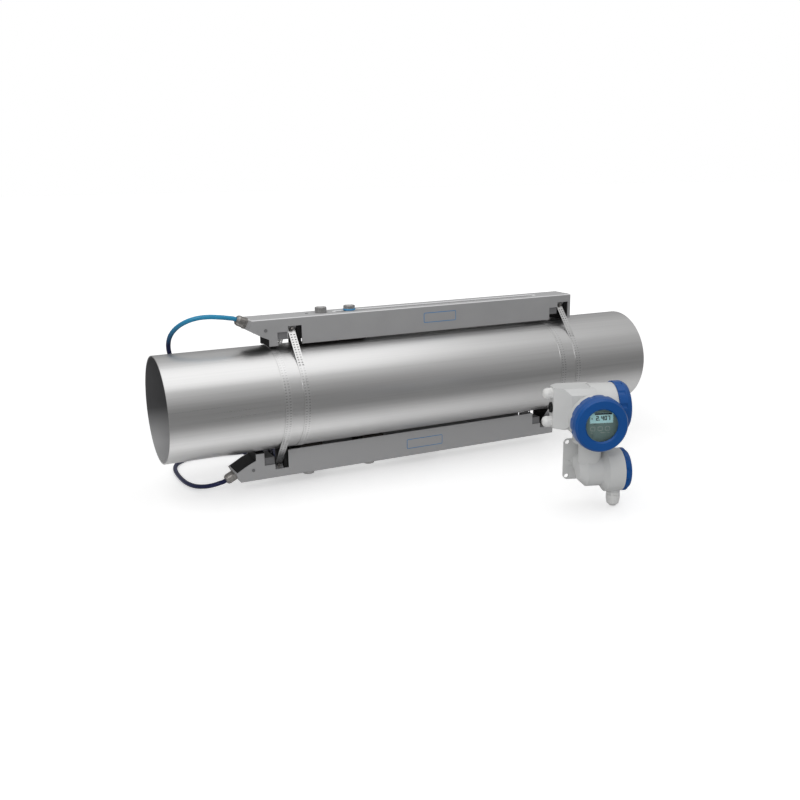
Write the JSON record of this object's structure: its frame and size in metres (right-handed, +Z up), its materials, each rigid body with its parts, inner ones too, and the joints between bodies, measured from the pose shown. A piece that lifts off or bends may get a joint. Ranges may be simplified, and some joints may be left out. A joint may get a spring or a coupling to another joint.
{
  "type": "clamp-on ultrasonic flow meter",
  "caption": "Clamp-on ultrasonic flow meter: sensor rails strapped to the crown and belly of a steel pipe, cables to their gland noses, and a separate field converter with screwed covers.",
  "frame": {"origin": "on the pipe's axis at the middle of the pipe run", "axes": "+X along the pipe away from the cable glands, +Z up through the upper rail, the converter stands at -Y"},
  "size_m": [1.148, 0.7887, 0.3745],
  "materials": {
    "pipe_steel": "brushed stainless steel",
    "rail_metal": "matt grey anodised",
    "black_plastic": "matt",
    "grey_casting": "matt grey",
    "strap_steel": "bright stainless band",
    "bright_metal": "satin nickel",
    "head_plastic": "matt tan",
    "cable_blue": "satin sheath",
    "light_enamel": "light grey powder coat",
    "blue_enamel": "blue enamel",
    "glass_clear": "clear",
    "module_plastic": "matt grey green",
    "lcd_green": "backlit display",
    "board_green": "circuit board",
    "white_plastic": "white nylon",
    "seal_rubber": "black rubber"
  },
  "bodies": {
    "pipe_run": {"pipe": "pipe_steel", "upper_rail": "rail_metal", "upper_end_cap": "grey_casting", "upper_nose_cover": "black_plastic", "upper_saddles": "black_plastic", "upper_clamp_blocks": "grey_casting", "upper_straps": "strap_steel", "upper_fixed_holder": "grey_casting", "upper_gland_body": "bright_metal", "upper_cable": "cable_blue", "upper_cable_coil": "cable_blue", "upper_cable_plug": "bright_metal", "upper_rail_screws": "bright_metal", "lower_rail": "rail_metal", "lower_end_cap": "grey_casting", "lower_nose_cover": "black_plastic", "lower_saddles": "black_plastic", "lower_clamp_blocks": "grey_casting", "lower_straps": "strap_steel", "lower_fixed_holder": "grey_casting", "lower_gland_body": "bright_metal", "lower_cable": "cable_blue", "lower_cable_coil": "cable_blue", "lower_cable_plug": "bright_metal", "lower_rail_screws": "bright_metal", "main_housing": "light_enamel", "display_module": "module_plastic", "lcd": "lcd_green", "electronics_module": "board_green", "terminal_block": "board_green", "sensor_box": "light_enamel", "sensor_terminals": "black_plastic", "wall_bracket": "light_enamel", "gland_bodies": "white_plastic", "blind_plug": "black_plastic", "cover_seals": "seal_rubber", "housing_screws": "bright_metal"},
    "upper_carriage": {"upper_slide_holder": "grey_casting"},
    "upper_slide_head": {"upper_slide_transducer": "head_plastic"},
    "upper_slide_screw": {"upper_slide_knob": "bright_metal"},
    "upper_fixed_head": {"upper_fixed_transducer": "head_plastic"},
    "upper_fixed_screw": {"upper_fixed_knob": "bright_metal"},
    "upper_left_worm": {"upper_strap_screw_left": "bright_metal"},
    "upper_right_worm": {"upper_strap_screw_right": "bright_metal"},
    "upper_cable_nut": {"upper_gland_nut": "bright_metal"},
    "lower_carriage": {"lower_slide_holder": "grey_casting"},
    "lower_slide_head": {"lower_slide_transducer": "head_plastic"},
    "lower_slide_screw": {"lower_slide_knob": "bright_metal"},
    "lower_fixed_head": {"lower_fixed_transducer": "head_plastic"},
    "lower_fixed_screw": {"lower_fixed_knob": "bright_metal"},
    "lower_left_worm": {"lower_strap_screw_left": "bright_metal"},
    "lower_right_worm": {"lower_strap_screw_right": "bright_metal"},
    "lower_cable_nut": {"lower_gland_nut": "bright_metal"},
    "display_lid": {"display_cover": "blue_enamel", "window_glass": "glass_clear"},
    "terminal_lid": {"terminal_cover": "blue_enamel"},
    "sensor_lid": {"sensor_cover": "blue_enamel"},
    "top_nut": {"top_gland_nut": "white_plastic"},
    "side_nut": {"side_gland_nut": "white_plastic"},
    "bottom_nut": {"bottom_gland_nut": "white_plastic"}
  },
  "joints": [
    {"name": "upper_carriage_slide", "type": "slide", "parent": "pipe_run", "child": "upper_carriage", "axis": [1, 0, 0], "range_m": [-0.012, 0.45]},
    {"name": "upper_slide_knob_turn", "type": "hinge", "parent": "upper_carriage", "child": "upper_slide_screw", "pos_m": [-0.1525, 0, 0.175], "axis": [0, 0, 1], "range_deg": [0, 1080]},
    {"name": "upper_slide_head_lift", "type": "slide", "parent": "upper_carriage", "child": "upper_slide_head", "axis": [0, 0, 1], "range_m": [0, 0.003]},
    {"name": "upper_fixed_knob_turn", "type": "hinge", "parent": "pipe_run", "child": "upper_fixed_screw", "pos_m": [-0.218, 0, 0.175], "axis": [0, 0, 1], "range_deg": [0, 1080]},
    {"name": "upper_fixed_head_lift", "type": "slide", "parent": "pipe_run", "child": "upper_fixed_head", "axis": [0, 0, 1], "range_m": [0, 0.003]},
    {"name": "upper_left_worm_turn", "type": "hinge", "parent": "pipe_run", "child": "upper_left_worm", "pos_m": [-0.294, -0.02661, 0.14634], "axis": [0, 0.6428, 0.766], "range_deg": [0, 1800]},
    {"name": "upper_right_worm_turn", "type": "hinge", "parent": "pipe_run", "child": "upper_right_worm", "pos_m": [0.379, -0.02661, 0.14634], "axis": [0, 0.6428, 0.766], "range_deg": [0, 1800]},
    {"name": "upper_cable_nut_turn", "type": "hinge", "parent": "pipe_run", "child": "upper_cable_nut", "pos_m": [-0.383, 0, 0.15895], "axis": [-0.8944, 0, 0.4472], "range_deg": [0, 1080]},
    {"name": "lower_carriage_slide", "type": "slide", "parent": "pipe_run", "child": "lower_carriage", "axis": [1, 0, 0], "range_m": [-0.09, 0.375]},
    {"name": "lower_slide_knob_turn", "type": "hinge", "parent": "lower_carriage", "child": "lower_slide_screw", "pos_m": [-0.1145, 0, -0.175], "axis": [0, 0, -1], "range_deg": [0, 1080]},
    {"name": "lower_slide_head_lift", "type": "slide", "parent": "lower_carriage", "child": "lower_slide_head", "axis": [0, 0, -1], "range_m": [0, 0.003]},
    {"name": "lower_fixed_knob_turn", "type": "hinge", "parent": "pipe_run", "child": "lower_fixed_screw", "pos_m": [-0.259, 0, -0.175], "axis": [0, 0, -1], "range_deg": [0, 1080]},
    {"name": "lower_fixed_head_lift", "type": "slide", "parent": "pipe_run", "child": "lower_fixed_head", "axis": [0, 0, -1], "range_m": [0, 0.003]},
    {"name": "lower_left_worm_turn", "type": "hinge", "parent": "pipe_run", "child": "lower_left_worm", "pos_m": [-0.335, -0.02661, -0.14634], "axis": [0, 0.6428, -0.766], "range_deg": [0, 1800]},
    {"name": "lower_right_worm_turn", "type": "hinge", "parent": "pipe_run", "child": "lower_right_worm", "pos_m": [0.338, -0.02661, -0.14634], "axis": [0, 0.6428, -0.766], "range_deg": [0, 1800]},
    {"name": "lower_cable_nut_turn", "type": "hinge", "parent": "pipe_run", "child": "lower_cable_nut", "pos_m": [-0.424, 0, -0.15895], "axis": [-0.8944, 0, -0.4472], "range_deg": [0, 1080]},
    {"name": "display_cover_turn", "type": "hinge", "parent": "pipe_run", "child": "display_lid", "pos_m": [0.13306, -0.49024, 0.0005], "axis": [-0.3256, -0.9455, 0], "range_deg": [0, 1440]},
    {"name": "terminal_cover_turn", "type": "hinge", "parent": "pipe_run", "child": "terminal_lid", "pos_m": [0.19798, -0.44914, 0.013], "axis": [0.9455, -0.3256, 0], "range_deg": [0, 1440]},
    {"name": "sensor_cover_turn", "type": "hinge", "parent": "pipe_run", "child": "sensor_lid", "pos_m": [0.21831, -0.45614, -0.1145], "axis": [0.9455, -0.3256, 0], "range_deg": [0, 1440]},
    {"name": "top_nut_turn", "type": "hinge", "parent": "pipe_run", "child": "top_nut", "pos_m": [0.08641, -0.41072, 0.044], "axis": [-0.9455, 0.3256, 0], "range_deg": [0, 1080]},
    {"name": "side_nut_turn", "type": "hinge", "parent": "pipe_run", "child": "side_nut", "pos_m": [0.08641, -0.41072, -0.011], "axis": [-0.9455, 0.3256, 0], "range_deg": [0, 1080]},
    {"name": "bottom_nut_turn", "type": "hinge", "parent": "pipe_run", "child": "bottom_nut", "pos_m": [0.20933, -0.45305, -0.159], "axis": [0, 0, -1], "range_deg": [0, 1080]}
  ],
  "couplings": [
    {"joint": "upper_slide_knob_turn", "follows": "upper_slide_head_lift", "rad_per_m": 6283},
    {"joint": "upper_fixed_knob_turn", "follows": "upper_fixed_head_lift", "rad_per_m": 6283},
    {"joint": "lower_slide_knob_turn", "follows": "lower_slide_head_lift", "rad_per_m": 6283},
    {"joint": "lower_fixed_knob_turn", "follows": "lower_fixed_head_lift", "rad_per_m": 6283}
  ]
}
